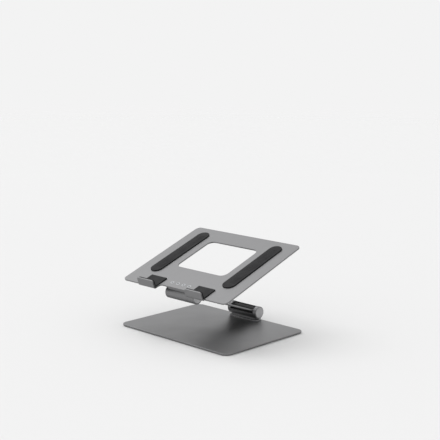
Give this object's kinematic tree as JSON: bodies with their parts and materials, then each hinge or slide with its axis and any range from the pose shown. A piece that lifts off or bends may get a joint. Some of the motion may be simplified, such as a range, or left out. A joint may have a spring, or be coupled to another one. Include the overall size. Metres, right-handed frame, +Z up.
{
  "type": "laptop stand",
  "caption": "Folding aluminium laptop stand: flat base, flat arm and slotted tray with two front lips, joined in a Z by two friction hinges.",
  "frame": {"origin": "on the desk, under the middle of the stand's outline at rest; the base plate's middle is 3 mm behind it", "axes": "+X to the right along the front edge, +Y to the rear, +Z up"},
  "size_m": [0.268, 0.21, 0.1579],
  "materials": {
    "anodised_aluminium": "bead-blasted, anodised dark grey",
    "spun_caps": "spun with fine concentric lines, clear anodised",
    "steel_hardware": "zinc-plated steel",
    "silicone": "matt black silicone",
    "black_polymer": "black acetal"
  },
  "bodies": {
    "base": {"base_plate": "anodised_aluminium", "base_feet": "silicone", "lower_bracket": "anodised_aluminium", "lower_bracket_screws": "steel_hardware", "lower_collar_left": "anodised_aluminium", "lower_collar_right": "anodised_aluminium", "lower_end_cap_left": "spun_caps", "lower_end_cap_right": "spun_caps", "lower_shaft": "steel_hardware", "lower_lock_nut": "steel_hardware", "lower_friction_washers": "steel_hardware", "lower_disc_springs": "steel_hardware"},
    "arm": {"arm": "anodised_aluminium", "lower_liner": "black_polymer", "upper_liner": "black_polymer", "lower_bushings": "black_polymer", "upper_bushings": "black_polymer"},
    "tray": {"tray_plate": "anodised_aluminium", "lip_pad_left": "silicone", "lip_pad_right": "silicone", "tray_strip_left": "silicone", "tray_strip_right": "silicone", "upper_bracket": "anodised_aluminium", "upper_bracket_screws": "steel_hardware", "upper_collar_left": "anodised_aluminium", "upper_collar_right": "anodised_aluminium", "upper_end_cap_left": "spun_caps", "upper_end_cap_right": "spun_caps", "upper_shaft": "steel_hardware", "upper_lock_nut": "steel_hardware", "upper_friction_washers": "steel_hardware", "upper_disc_springs": "steel_hardware"}
  },
  "joints": [
    {"name": "arm_lift", "type": "hinge", "parent": "base", "child": "arm", "pos_m": [0, 0.0935, 0.0195], "axis": [-1, 0, 0], "range_deg": [-19.5, 70.5]},
    {"name": "tray_tilt", "type": "hinge", "parent": "arm", "child": "tray", "pos_m": [0, -0.06675, 0.07625], "axis": [1, 0, 0], "range_deg": [-39.5, 22.5]}
  ]
}
